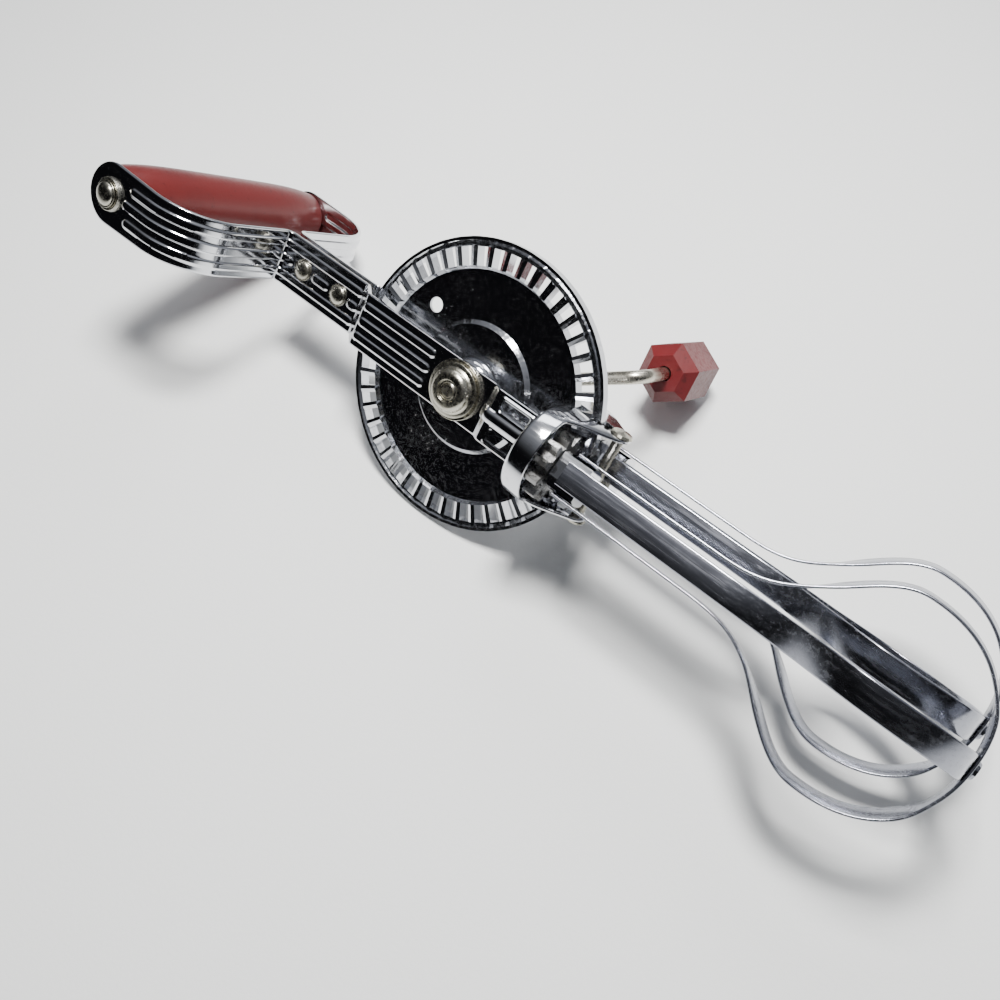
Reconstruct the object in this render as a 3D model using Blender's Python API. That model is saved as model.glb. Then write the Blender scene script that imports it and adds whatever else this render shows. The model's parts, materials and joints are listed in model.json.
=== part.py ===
"""Hand-cranked egg beater, lying on its wheel rim, one beater and one handle arm.

The tool is modelled in its own axes and then laid down by one empty, tool_root:
X runs along the tool from the handle to the beaters, Y runs through the wheel towards the crank,
and Z lies in the plane of the wheel. The wheel's centre is the tool's own origin.
"""
import math

import bmesh
import bpy
from mathutils import Matrix, Vector

MM = 0.001

# Driving dimensions of the drive
WHEEL_RADIUS = 41.5 * MM
SLOT_COUNT = 45
PINION_TEETH = 11
SLOT_INNER = 33.7 * MM
SLOT_OUTER = 38.9 * MM
PINION_OFFSET = 11.2 * MM           # beater axis to the wheel's mid plane
PINION_START = 34.0 * MM
PINION_END = 38.6 * MM
TOOTH_STOP = 1.0 * MM               # a tooth's tip stops this far from the wheel's mid plane
TOOTH_DEPTH = 3.1 * MM
GAP = 0.3 * MM                      # clearance between neighbouring pieces

# Wheel section
WEB_HALF = 0.45 * MM
RUNG_HALF = 2.2 * MM
RIM_HALF = 1.3 * MM
STEP_RADIUS = 18.5 * MM
STEP_HEIGHT = 1.2 * MM
HUB_BORE = 5.0 * MM
SLOT_HALF_ANGLE = math.radians(2.35)
DRAIN_HOLE_RADIUS = 2.2 * MM
DRAIN_HOLE_PLACE = (-21.5 * MM, 14.4 * MM)

# Frame straps, measured to their outer faces
STRAP_THICKNESS = 1.2 * MM
STRAP_HALF_WIDTH = 8.2 * MM
ARM_HALF_WIDTH = 9.0 * MM
NECK_FACE = 2.6 * MM
HUB_FACE = 8.3 * MM
FOOT_FACE = 9.7 * MM
ARM_FACE = 41.3 * MM
ARM_BACK_X = -78.0 * MM             # the crosswise stretch of the arm
GRIP_X = -111.0 * MM
JOGGLE_START = -44.5 * MM
JOGGLE_END = -39.0 * MM
FOOT_STEP_START = 10.5 * MM
FOOT_STEP_END = 12.5 * MM
STRAP_END = 27.9 * MM
WINDOW_START = 15.5 * MM
WINDOW_END = 24.5 * MM
WINDOW_INNER = 2.9 * MM
WINDOW_OUTER = 6.3 * MM
NECK_RIVETS = (-68.7 * MM, -53.1 * MM)

# Grip
GRIP_RADIUS = 9.8 * MM
GRIP_END_RADIUS = 8.4 * MM
ROD_RADIUS = 2.0 * MM

# Axle, crank and knob
AXLE_RADIUS = 2.0 * MM
CRANK_RADIUS = 41.1 * MM
CRANK_ANGLE = math.radians(33.2)
CRANK_PLANE = 26.0 * MM             # clears the housing and the back beater
CRANK_BEND = 5.0 * MM
KNOB_START = 42.3 * MM
KNOB_LENGTH = 26.0 * MM
KNOB_RADIUS = 10.0 * MM

# Pinion housing
HOUSING_START = 28.2 * MM
HOUSING_PLATE = 1.2 * MM
HOUSING_WALL = 1.0 * MM
HOUSING_RADIUS = 13.3 * MM
HOUSING_CENTRE = 9.5 * MM
HOUSING_SKIRT = 35.0 * MM
HOUSING_SLOPE_END = 13.0 * MM       # distance from the mid plane where the skirt is shortest
HOUSING_NOSE = 46.0 * MM
HOUSING_NOSE_RADIUS = 4.6 * MM
CROSS_PIN_RADIUS = 1.5 * MM
RIM_SLOT_HALF = 2.8 * MM
RIM_SLOT_END = 42.2 * MM

# Beaters
BLADE_WIDTH = 7.0 * MM
BLADE_THICKNESS = 0.8 * MM
BLADE_START = 42.0 * MM
BLADE_RADIUS = 6.5 * MM             # beater axis to the outer face of a straight blade
FLARE_START = 81.0 * MM
BULB_MIDDLE = 128.0 * MM
BULB_END = 154.0 * MM
BULB_RADIUS = 26.6 * MM
CROSSING_STEP = 1.2 * MM            # one loop passes this far outside the other at the tip
FRONT_BLADE_ANGLE = math.radians(22.0)
BACK_BLADE_ANGLE = math.radians(18.5)
BLADE_TWIST = math.radians(12.0)    # how far the blades lean over in the bulb
TWIST_START = 10.5 * MM             # the lean grows between these distances from the beater's axis
TWIST_END = 19.0 * MM
SPINDLE_RADIUS = 1.75 * MM
SPINDLE_END = 49.0 * MM


def clear_scene():
    for item in list(bpy.data.objects):
        bpy.data.objects.remove(item, do_unlink=True)


def make_material(name, colour, roughness, metallic):
    material = bpy.data.materials.new(name)
    material.use_nodes = True
    shader = material.node_tree.nodes["Principled BSDF"]
    shader.inputs["Base Color"].default_value = (*colour, 1.0)
    shader.inputs["Roughness"].default_value = roughness
    shader.inputs["Metallic"].default_value = metallic
    return material


CHROME = (0.62, 0.63, 0.65)
STAINLESS = (0.56, 0.57, 0.60)
NICKEL = (0.42, 0.39, 0.31)
RED = (0.34, 0.035, 0.03)


def add_empty(name, parent, location):
    empty = bpy.data.objects.new(name, None)
    empty.empty_display_size = 0.01
    empty.parent = parent
    empty.location = location
    bpy.context.scene.collection.objects.link(empty)
    return empty


def add_piece(name, build, parent, finish, pivot=(0.0, 0.0, 0.0), sharp_degrees=35.0):
    """Make an object from a bmesh given in tool coordinates, with its origin at the pivot."""
    colour, roughness, metallic = finish
    bmesh.ops.remove_doubles(build, verts=build.verts, dist=1e-7)
    bmesh.ops.recalc_face_normals(build, faces=build.faces)
    bmesh.ops.translate(build, verts=build.verts, vec=-Vector(pivot))
    mesh = bpy.data.meshes.new(name)
    build.to_mesh(mesh)
    build.free()
    mesh.shade_smooth()
    mesh.set_sharp_from_angle(angle=math.radians(sharp_degrees))
    mesh.materials.append(make_material(name + "_material", colour, roughness, metallic))
    piece = bpy.data.objects.new(name, mesh)
    piece.parent = parent
    bpy.context.scene.collection.objects.link(piece)
    return piece


def add_cutter(name, build, target):
    """Subtract a hidden guide solid, given in the target's own coordinates, from the target."""
    bmesh.ops.recalc_face_normals(build, faces=build.faces)
    mesh = bpy.data.meshes.new(name)
    build.to_mesh(mesh)
    build.free()
    cutter = bpy.data.objects.new(name, mesh)
    cutter.parent = target.parent
    cutter.location = target.location
    cutter.hide_render = True
    cutter.display_type = "WIRE"
    bpy.context.scene.collection.objects.link(cutter)
    cut = target.modifiers.new(name, "BOOLEAN")
    cut.operation = "DIFFERENCE"
    cut.object = cutter
    return cutter


def turned(profile, segments, centre=(0.0, 0.0, 0.0), axis="Y"):
    """Solid of revolution; profile is (distance along the axis, radius) from end to end."""
    build = bmesh.new()
    rings = []
    for along, radius in profile:
        if radius <= 0.0:
            rings.append([build.verts.new(axis_point(along, 0.0, 0.0, axis, centre))])
            continue
        ring = []
        for step in range(segments):
            angle = 2.0 * math.pi * step / segments
            ring.append(build.verts.new(axis_point(along, radius, angle, axis, centre)))
        rings.append(ring)
    for first, second in zip(rings, rings[1:]):
        join_rings(build, first, second)
    for ring in (rings[0], rings[-1]):
        if len(ring) > 1:
            build.faces.new(ring)
    return build


def axis_point(along, radius, angle, axis, centre):
    side = radius * math.cos(angle)
    up = radius * math.sin(angle)
    if axis == "X":
        point = Vector((along, side, up))
    elif axis == "Y":
        point = Vector((side, along, up))
    else:
        point = Vector((side, up, along))
    return point + Vector(centre)


def join_rings(build, first, second):
    count = max(len(first), len(second))
    for step in range(count):
        following = (step + 1) % count
        if len(first) == 1:
            build.faces.new((first[0], second[step], second[following]))
        elif len(second) == 1:
            build.faces.new((first[step], second[0], first[following]))
        else:
            build.faces.new((first[step], second[step], second[following], first[following]))


def turned_ring(profile, segments, centre=(0.0, 0.0, 0.0), axis="Y"):
    """Ring of revolution; profile is a closed outline of (distance along the axis, radius)."""
    build = bmesh.new()
    rings = []
    for along, radius in profile:
        ring = []
        for step in range(segments):
            angle = 2.0 * math.pi * step / segments
            ring.append(build.verts.new(axis_point(along, radius, angle, axis, centre)))
        rings.append(ring)
    for index, ring in enumerate(rings):
        join_rings(build, ring, rings[(index + 1) % len(rings)])
    return build


def box(low, high):
    build = bmesh.new()
    bmesh.ops.create_cube(build, size=1.0)
    size = Vector(high) - Vector(low)
    middle = (Vector(high) + Vector(low)) / 2.0
    bmesh.ops.transform(build, verts=build.verts, matrix=Matrix.Translation(middle) @ Matrix.Diagonal((*size, 1.0)))
    return build


def rounded_path(corners, arc_step=math.radians(11.25)):
    """Points along a path of (x, y, radius) corners, each radius replaced by an arc."""
    points = []
    for index, (x, y, radius) in enumerate(corners):
        here = Vector((x, y))
        if radius == 0.0 or index in (0, len(corners) - 1):
            points.append(here)
            continue
        before = (Vector(corners[index - 1][:2]) - here).normalized()
        after = (Vector(corners[index + 1][:2]) - here).normalized()
        half = before.angle(after) / 2.0
        reach = radius / math.tan(half)
        centre = here + (before + after).normalized() * radius / math.sin(half)
        start = here + before * reach - centre
        turn = (here + after * reach - centre).angle_signed(start)
        steps = max(2, round(abs(turn) / arc_step))
        for step in range(steps + 1):
            angle = turn * step / steps
            points.append(centre + Matrix.Rotation(angle, 2) @ start)
    return points


def strip(path, thickness, half_width, matrix=Matrix(), lean=lambda point: 0.0):
    """Flat strip along a path in X and Y, thickened to the path's left and leaning over by lean(point)."""
    build = bmesh.new()
    rings = []
    for index, point in enumerate(path):
        before = (point - path[index - 1]).normalized() if index else (path[1] - point).normalized()
        last = index == len(path) - 1
        after = before if last else (path[index + 1] - point).normalized()
        tangent = (before + after).normalized()
        left = Vector((-tangent.y, tangent.x, 0.0))
        angle = lean(point)
        upward = Vector((0.0, 0.0, 1.0))
        across = (left * math.sin(angle) + upward * math.cos(angle)) * half_width(point)
        depth = (left * math.cos(angle) - upward * math.sin(angle)) * thickness / max(0.5, before.dot(tangent))
        outer = Vector((point.x, point.y, 0.0))
        corners = (outer - across, outer + across, outer + depth + across, outer + depth - across)
        ring = [build.verts.new(matrix @ corner) for corner in corners]
        rings.append(ring)
    for first, second in zip(rings, rings[1:]):
        join_rings(build, first, second)
    build.faces.new(rings[0])
    build.faces.new(rings[-1])
    return build


# ---------------------------------------------------------------------------------------------
# Frame
# ---------------------------------------------------------------------------------------------

def strap_path():
    """Outer face of the front strap, from its round handle end to its foot on the pinion housing."""
    round_end = []
    for step in range(6):
        reach = 0.995 * ARM_HALF_WIDTH * math.cos(math.pi / 2.0 * step / 6.0)
        round_end.append(Vector((GRIP_X - reach, -ARM_FACE)))
    corners = [
        (GRIP_X, -ARM_FACE, 0.0),
        (ARM_BACK_X, -ARM_FACE, 17.0 * MM),
        (ARM_BACK_X, -NECK_FACE, 1.6 * MM),
        (JOGGLE_START, -NECK_FACE, 1.6 * MM),
        (JOGGLE_END, -HUB_FACE, 1.6 * MM),
        (FOOT_STEP_START, -HUB_FACE, 1.8 * MM),
        (FOOT_STEP_END, -FOOT_FACE, 1.8 * MM),
        (STRAP_END, -FOOT_FACE, 0.0),
    ]
    return round_end + rounded_path(corners)


def strap_half_width(point):
    """Round at the handle end, then tapering from the arm's width to the strap's."""
    if point.x < GRIP_X:
        reach = GRIP_X - point.x
        return math.sqrt(max(ARM_HALF_WIDTH ** 2 - reach ** 2, (0.1 * ARM_HALF_WIDTH) ** 2))
    blend = min(1.0, (point.x - GRIP_X) / (ARM_BACK_X - GRIP_X))
    return ARM_HALF_WIDTH + (STRAP_HALF_WIDTH - ARM_HALF_WIDTH) * blend


def add_strap(name, side, root):
    """One pressed strap: side is -1 for the front strap and 1 for the back one."""
    mirror = Matrix.Diagonal((1.0, -side, 1.0, 1.0))
    build = strip(strap_path(), STRAP_THICKNESS, strap_half_width, mirror)
    strap = add_piece(name, build, root, (CHROME, 0.12, 1.0))
    holes = [(0.0, AXLE_RADIUS + GAP), (GRIP_X, ROD_RADIUS + GAP)]
    holes += [(place, ROD_RADIUS + GAP) for place in NECK_RIVETS]
    for index, (place, radius) in enumerate(holes):
        drill = turned([(0.0, radius), (side * 60.0 * MM, radius)], 16, (place, 0.0, 0.0))
        add_cutter(f"{name}_drill_{index}", drill, strap)
    for index, sign in enumerate((-1.0, 1.0)):
        low_z, high_z = sorted((sign * WINDOW_INNER, sign * WINDOW_OUTER))
        low_y, high_y = sorted((0.0, side * 20.0 * MM))
        add_cutter(f"{name}_window_{index}", box((WINDOW_START, low_y, low_z), (WINDOW_END, high_y, high_z)), strap)
    return strap


def headed_pin(place, half_length, radius, head_radius, head_height, segments=16):
    """Rivet along Y through the point (place, 0, 0), with a domed head at both ends."""
    half = [
        (half_length, radius),
        (half_length, head_radius),
        (half_length + 0.45 * head_height, 0.9 * head_radius),
        (half_length + 0.85 * head_height, 0.55 * head_radius),
        (half_length + head_height, 0.0),
    ]
    profile = [(-along, across) for along, across in reversed(half)] + half
    return turned(profile, segments, (place, 0.0, 0.0))


def add_handle(root):
    reach = ARM_FACE - STRAP_THICKNESS - GAP
    profile = [
        (-reach, GRIP_END_RADIUS - 1.0 * MM),
        (-reach + 1.0 * MM, GRIP_END_RADIUS),
        (-reach * 0.75, GRIP_RADIUS - 0.3 * MM),
        (-reach * 0.35, GRIP_RADIUS),
        (reach * 0.35, GRIP_RADIUS),
        (reach * 0.75, GRIP_RADIUS - 0.3 * MM),
        (reach - 1.0 * MM, GRIP_END_RADIUS),
        (reach, GRIP_END_RADIUS - 1.0 * MM),
        (reach, ROD_RADIUS + GAP),
        (-reach, ROD_RADIUS + GAP),
    ]
    add_piece("handle_grip", turned_ring(profile, 32, (GRIP_X, 0.0, 0.0)), root, (RED, 0.45, 0.0))
    rod = headed_pin(GRIP_X, ARM_FACE + 1.4 * MM, ROD_RADIUS, 3.9 * MM, 1.8 * MM)
    add_piece("handle_rod", rod, root, (NICKEL, 0.3, 1.0))
    for name, side in (("front_handle_washer", -1.0), ("back_handle_washer", 1.0)):
        low = side * (ARM_FACE + 0.2 * MM)
        high = side * (ARM_FACE + 1.2 * MM)
        outline = [(low, ROD_RADIUS + GAP), (low, 4.6 * MM), (high, 4.3 * MM), (high, ROD_RADIUS + GAP)]
        add_piece(name, turned_ring(outline, 20, (GRIP_X, 0.0, 0.0)), root, (NICKEL, 0.3, 1.0))


def add_neck_rivets(root):
    for name, place in zip(("upper_neck_rivet", "lower_neck_rivet"), NECK_RIVETS):
        pin = headed_pin(place, NECK_FACE + 0.2 * MM, ROD_RADIUS, 3.3 * MM, 1.3 * MM)
        add_piece(name, pin, root, (NICKEL, 0.3, 1.0))
        spacer = NECK_FACE - STRAP_THICKNESS - 0.2 * MM
        inner = ROD_RADIUS + GAP
        outline = [(-spacer, inner), (-spacer, 4.2 * MM), (spacer, 4.2 * MM), (spacer, inner)]
        ring = turned_ring(outline, 20, (place, 0.0, 0.0))
        add_piece(name.replace("rivet", "spacer"), ring, root, (NICKEL, 0.35, 1.0))


# ---------------------------------------------------------------------------------------------
# Pinion housing: one pressed shell that bridges the wheel's rim
# ---------------------------------------------------------------------------------------------

def housing_depth(across):
    """How far the wall reaches towards the beaters: short at the ends, a round nose at the sides."""
    reach = abs(across)
    if reach < HOUSING_NOSE_RADIUS * 0.85:
        return HOUSING_NOSE + math.sqrt(HOUSING_NOSE_RADIUS ** 2 - reach ** 2) - HOUSING_NOSE_RADIUS * 0.5
    start = HOUSING_NOSE_RADIUS * 0.85
    nose = HOUSING_NOSE + math.sqrt(HOUSING_NOSE_RADIUS ** 2 - start ** 2) - HOUSING_NOSE_RADIUS * 0.5
    blend = min(1.0, (reach - start) / (HOUSING_SLOPE_END - start))
    return nose + (HOUSING_SKIRT - nose) * blend


def add_housing(root):
    """A cap with a plate towards the handle, open to the beaters, and slotted for the wheel."""
    build = bmesh.new()
    sides = [-8.6, -6.4, -4.6, -3.9, -3.0, -2.2, -1.1, 0.0, 1.1, 2.2, 3.0, 3.9, 4.6, 6.4, 8.6]
    outlines = []
    for radius in (HOUSING_RADIUS, HOUSING_RADIUS - HOUSING_WALL):
        points = []
        for side in (-1.0, 1.0):
            for step in range(17):
                angle = math.pi * step / 16
                across = side * (HOUSING_CENTRE + radius * math.sin(angle))
                points.append((across, -side * radius * math.cos(angle)))
            for value in (sides if side < 0.0 else reversed(sides)):
                if abs(value * MM) < HOUSING_CENTRE:
                    points.append((value * MM, side * radius))
        outlines.append(points)
    outer, inner = outlines
    outer_top = [build.verts.new((HOUSING_START, y, z)) for y, z in outer]
    outer_lip = [build.verts.new((housing_depth(y), y, z)) for y, z in outer]
    inner_lip = [build.verts.new((housing_depth(y), y, z)) for y, z in inner]
    inner_top = [build.verts.new((HOUSING_START + HOUSING_PLATE, y, z)) for y, z in inner]
    for first, second in ((outer_top, outer_lip), (outer_lip, inner_lip), (inner_lip, inner_top)):
        join_rings(build, first, second)
    build.faces.new(outer_top)
    build.faces.new(inner_top)
    housing = add_piece("pinion_housing", build, root, (CHROME, 0.12, 1.0))
    low = (HOUSING_START - 5.0 * MM, -RIM_SLOT_HALF, -30.0 * MM)
    high = (RIM_SLOT_END, RIM_SLOT_HALF, 30.0 * MM)
    add_cutter("housing_rim_slot", box(low, high), housing)
    for name, side in (("front", -1.0), ("back", 1.0)):
        ends = ((HOUSING_START - 5.0 * MM, SPINDLE_RADIUS + GAP), (HOUSING_START + 5.0 * MM, SPINDLE_RADIUS + GAP))
        drill = turned(ends, 16, (0.0, side * PINION_OFFSET, 0.0), "X")
        add_cutter(f"housing_{name}_spindle_hole", drill, housing)
    ends = [(-18.0 * MM, CROSS_PIN_RADIUS + GAP), (18.0 * MM, CROSS_PIN_RADIUS + GAP)]
    drill = turned(ends, 14, (HOUSING_NOSE - 0.5 * MM, 0.0, 0.0), "Z")
    add_cutter("housing_pin_hole", drill, housing)
    return housing


def add_housing_pin(root):
    """Cross pin between the two noses of the housing, passing between the beaters."""
    reach = HOUSING_RADIUS + 0.2 * MM
    half = [(reach, CROSS_PIN_RADIUS), (reach, 3.2 * MM), (reach + 0.7 * MM, 2.8 * MM), (reach + 1.2 * MM, 0.0)]
    profile = [(-along, across) for along, across in reversed(half)] + half
    pin = turned(profile, 16, (HOUSING_NOSE - 0.5 * MM, 0.0, 0.0), "Z")
    add_piece("housing_cross_pin", pin, root, (NICKEL, 0.35, 1.0))


def add_spindles(root):
    """Fixed pins that the pinions turn on, set flush in the housing's plate."""
    for name, side in (("front_spindle", -1.0), ("back_spindle", 1.0)):
        profile = [
            (HOUSING_START + 0.1 * MM, 0.0),
            (HOUSING_START + 0.1 * MM, SPINDLE_RADIUS),
            (SPINDLE_END, SPINDLE_RADIUS),
            (SPINDLE_END, 2.9 * MM),
            (SPINDLE_END + 0.8 * MM, 2.9 * MM),
            (SPINDLE_END + 1.2 * MM, 0.0),
        ]
        pin = turned(profile, 16, (0.0, side * PINION_OFFSET, 0.0), "X")
        add_piece(name, pin, root, (NICKEL, 0.35, 1.0))


# ---------------------------------------------------------------------------------------------
# Wheel, axle and crank
# ---------------------------------------------------------------------------------------------

def wheel_section(is_rung_middle, is_rung):
    """Rows of (radius, near face, far face) from the bore to the rim at one angle."""
    rung = RUNG_HALF if is_rung_middle else (RUNG_HALF * 0.8 if is_rung else RUNG_HALF * 0.7)
    return [
        (HUB_BORE, -STEP_HEIGHT - WEB_HALF, -STEP_HEIGHT + WEB_HALF),
        (STEP_RADIUS - 0.6 * MM, -STEP_HEIGHT - WEB_HALF, -STEP_HEIGHT + WEB_HALF),
        (STEP_RADIUS + 0.6 * MM, -WEB_HALF, WEB_HALF),
        (SLOT_INNER - 0.8 * MM, -WEB_HALF, WEB_HALF),
        (SLOT_INNER, -rung, rung),
        (SLOT_OUTER, -rung, rung),
        (SLOT_OUTER + 0.7 * MM, -WEB_HALF, WEB_HALF),
        (WHEEL_RADIUS - 0.9 * MM, -RIM_HALF, RIM_HALF),
        (WHEEL_RADIUS, -RIM_HALF, RIM_HALF),
    ]


def wheel_mesh():
    """Disc with a ring of rectangular slots and raised rungs between them, which the pinions drive."""
    build = bmesh.new()
    sector = 2.0 * math.pi / SLOT_COUNT
    columns = []
    for index in range(SLOT_COUNT):
        middle = index * sector
        columns.append((middle - SLOT_HALF_ANGLE, False, True))
        columns.append((middle + SLOT_HALF_ANGLE, False, True))
        columns.append((middle + sector / 2.0, True, True))
    near, far = [], []
    for angle, is_middle, is_rung in columns:
        rows = wheel_section(is_middle, is_rung)
        near.append([build.verts.new((r * math.cos(angle), low, r * math.sin(angle))) for r, low, _ in rows])
        far.append([build.verts.new((r * math.cos(angle), high, r * math.sin(angle))) for r, _, high in rows])
    slot_row = 4
    count = len(columns)
    row_count = len(near[0])
    for index in range(count):
        following = (index + 1) % count
        is_slot = index % 3 == 0
        for row in range(row_count - 1):
            if is_slot and row == slot_row:
                continue
            for side in (near, far):
                corners = (side[index][row], side[following][row], side[following][row + 1], side[index][row + 1])
                build.faces.new(corners)
        for row in (0, row_count - 1):
            build.faces.new((near[index][row], near[following][row], far[following][row], far[index][row]))
        if is_slot:
            for row in (slot_row, slot_row + 1):
                build.faces.new((near[index][row], near[following][row], far[following][row], far[index][row]))
            for column in (index, following):
                corners = (near[column][slot_row], near[column][slot_row + 1])
                corners += (far[column][slot_row + 1], far[column][slot_row])
                build.faces.new(corners)
    return build


def add_wheel(spin):
    wheel = add_piece("drive_wheel", wheel_mesh(), spin, (CHROME, 0.1, 1.0))
    place = (DRAIN_HOLE_PLACE[0], 0.0, DRAIN_HOLE_PLACE[1])
    drill = turned([(-5.0 * MM, DRAIN_HOLE_RADIUS), (5.0 * MM, DRAIN_HOLE_RADIUS)], 20, place)
    add_cutter("wheel_drain_hole", drill, wheel)
    inner = AXLE_RADIUS + 0.2 * MM
    hub_outline = [
        (-6.6 * MM, inner),
        (-6.6 * MM, 4.4 * MM),
        (-4.2 * MM, 6.4 * MM),
        (-2.2 * MM, 8.8 * MM),
        (-2.0 * MM, 8.8 * MM),
        (-2.0 * MM, HUB_BORE - GAP),
        (6.6 * MM, HUB_BORE - GAP),
        (6.6 * MM, inner),
    ]
    add_piece("wheel_hub", turned_ring(hub_outline, 28), spin, (CHROME, 0.12, 1.0))


def add_axle_washer(name, low, high, radius, spin):
    inner = AXLE_RADIUS + 0.2 * MM
    outline = [(low, inner), (low, radius), (high, radius), (high, inner)]
    add_piece(name, turned_ring(outline, 24), spin, (NICKEL, 0.3, 1.0))


def add_cap_nut(spin):
    """Stepped, domed nut on the front end of the axle, with a socket in its middle."""
    face = -HUB_FACE - 1.4 * MM
    outline = [
        (face, AXLE_RADIUS + 0.2 * MM),
        (face, 7.6 * MM),
        (face - 0.8 * MM, 7.6 * MM),
        (face - 1.5 * MM, 6.0 * MM),
        (face - 2.6 * MM, 5.6 * MM),
        (face - 3.6 * MM, 4.6 * MM),
        (face - 4.0 * MM, 3.4 * MM),
        (face - 4.0 * MM, AXLE_RADIUS + 0.2 * MM),
    ]
    add_piece("axle_cap_nut", turned_ring(outline, 28), spin, (NICKEL, 0.25, 1.0))


def crank_route():
    """Middle line of the axle and crank, one bent rod, in the plane that holds the axle and knob."""
    start = (0.0, -HUB_FACE - 4.6 * MM, 0.0)
    corners = [
        start,
        (0.0, CRANK_PLANE, CRANK_BEND),
        (CRANK_RADIUS, CRANK_PLANE, CRANK_BEND),
        (CRANK_RADIUS, KNOB_START + KNOB_LENGTH - 1.6 * MM, 0.0),
    ]
    return rounded_path(corners, math.radians(15.0))


def tube(route, radius, segments, matrix):
    """Round rod along a route in X and Y of its own plane, closed at both ends."""
    build = bmesh.new()
    rings = []
    for index, point in enumerate(route):
        before = (point - route[index - 1]).normalized() if index else (route[1] - point).normalized()
        last = index == len(route) - 1
        after = before if last else (route[index + 1] - point).normalized()
        tangent = (before + after).normalized()
        left = Vector((-tangent.y, tangent.x, 0.0))
        ring = []
        for step in range(segments):
            angle = 2.0 * math.pi * step / segments
            offset = left * math.cos(angle) + Vector((0.0, 0.0, math.sin(angle)))
            ring.append(build.verts.new(matrix @ (Vector((point.x, point.y, 0.0)) + offset * radius)))
        rings.append(ring)
    for first, second in zip(rings, rings[1:]):
        join_rings(build, first, second)
    build.faces.new(rings[0])
    build.faces.new(rings[-1])
    return build


def knob_pivot():
    return (CRANK_RADIUS * math.cos(CRANK_ANGLE), 0.0, CRANK_RADIUS * math.sin(CRANK_ANGLE))


def add_crank(spin):
    turn = Matrix.Rotation(-CRANK_ANGLE, 4, "Y")
    add_piece("crank_rod", tube(crank_route(), AXLE_RADIUS, 14, turn), spin, (NICKEL, 0.3, 1.0))
    washer_start = KNOB_START + KNOB_LENGTH - 3.4 * MM
    inner = AXLE_RADIUS + 0.15 * MM
    outline = [(washer_start, inner), (washer_start, 4.2 * MM)]
    outline += [(washer_start + 1.0 * MM, 4.2 * MM), (washer_start + 1.0 * MM, inner)]
    ring = turned_ring(outline, 20, knob_pivot())
    add_piece("knob_washer", ring, spin, (NICKEL, 0.35, 1.0))


def add_knob(knob_spin):
    """Six-sided knob, bevelled at both ends, with a bore for the rod and a recess for its washer."""
    build = bmesh.new()
    bore = AXLE_RADIUS + 0.35 * MM
    end = KNOB_START + KNOB_LENGTH
    outline = [
        (KNOB_START, bore),
        (KNOB_START, KNOB_RADIUS * 0.62),
        (KNOB_START + 3.2 * MM, KNOB_RADIUS),
        (end - 4.0 * MM, KNOB_RADIUS),
        (end, KNOB_RADIUS * 0.72),
        (end, 4.9 * MM),
        (end - 3.9 * MM, 4.9 * MM),
        (end - 3.9 * MM, bore),
    ]
    sides = 6
    steps = 4
    pivot = knob_pivot()
    rings = []
    for along, radius in outline:
        is_flat_sided = radius > 5.0 * MM
        ring = []
        for step in range(sides * steps):
            angle = 2.0 * math.pi * step / (sides * steps)
            within = (angle % (math.pi / 3.0)) - math.pi / 6.0
            reach = radius * math.cos(math.pi / 6.0) / math.cos(within) if is_flat_sided else radius
            ring.append(build.verts.new(axis_point(along, reach, angle + math.radians(33.0), "Y", pivot)))
        rings.append(ring)
    for index, ring in enumerate(rings):
        join_rings(build, ring, rings[(index + 1) % len(rings)])
    add_piece("crank_knob", build, knob_spin, (RED, 0.5, 0.0), pivot, 20.0)


# ---------------------------------------------------------------------------------------------
# Beaters
# ---------------------------------------------------------------------------------------------

def pinion_mesh(centre_y, bore):
    """Spur pinion with tapered teeth, one of which points straight at the wheel."""
    build = bmesh.new()
    tip = PINION_OFFSET - TOOTH_STOP
    root = tip - TOOTH_DEPTH
    towards_wheel = math.pi if centre_y > 0.0 else 0.0
    pitch_angle = 2.0 * math.pi / PINION_TEETH
    shape = ((-0.30, 0.0), (-0.215, 0.45), (-0.10, 1.0), (0.10, 1.0), (0.215, 0.45), (0.30, 0.0))
    middle = (PINION_START + PINION_END) / 2.0
    rings = []
    for along in (PINION_START, PINION_END):
        narrowing = along / middle
        outer, inner = [], []
        for tooth in range(PINION_TEETH):
            for fraction, height in shape:
                angle = towards_wheel + pitch_angle * (tooth + fraction * narrowing)
                radius = root + (tip - root) * height
                outer.append(build.verts.new(axis_point(along, radius, angle, "X", (0.0, centre_y, 0.0))))
                inner.append(build.verts.new(axis_point(along, bore, angle, "X", (0.0, centre_y, 0.0))))
        rings.append((outer, inner))
    (outer_a, inner_a), (outer_b, inner_b) = rings
    for first, second in ((outer_a, outer_b), (inner_b, inner_a), (inner_a, outer_a), (outer_b, inner_b)):
        join_rings(build, first, second)
    return build


def blade_profile(step_out):
    """One side of a beater loop as (x, radius): straight, flaring, bulging, then round to the tip."""
    flare_steps, tip_steps = 12, 9
    points = [(BLADE_START, BLADE_RADIUS), (FLARE_START, BLADE_RADIUS)]
    for step in range(1, flare_steps + 1):
        along = step / flare_steps
        rise = math.sin(math.pi / 2.0 * along) ** 3.8
        x = FLARE_START + (BULB_MIDDLE - FLARE_START) * along
        points.append((x, BLADE_RADIUS + (BULB_RADIUS - BLADE_RADIUS) * rise))
    for step in range(1, tip_steps + 1):
        angle = math.pi / 2.0 * step / tip_steps
        x = BULB_MIDDLE + (BULB_END + step_out - BULB_MIDDLE) * math.sin(angle) ** 0.9
        points.append((x, BULB_RADIUS * max(0.0, math.cos(angle)) ** 0.9))
    return points


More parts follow.
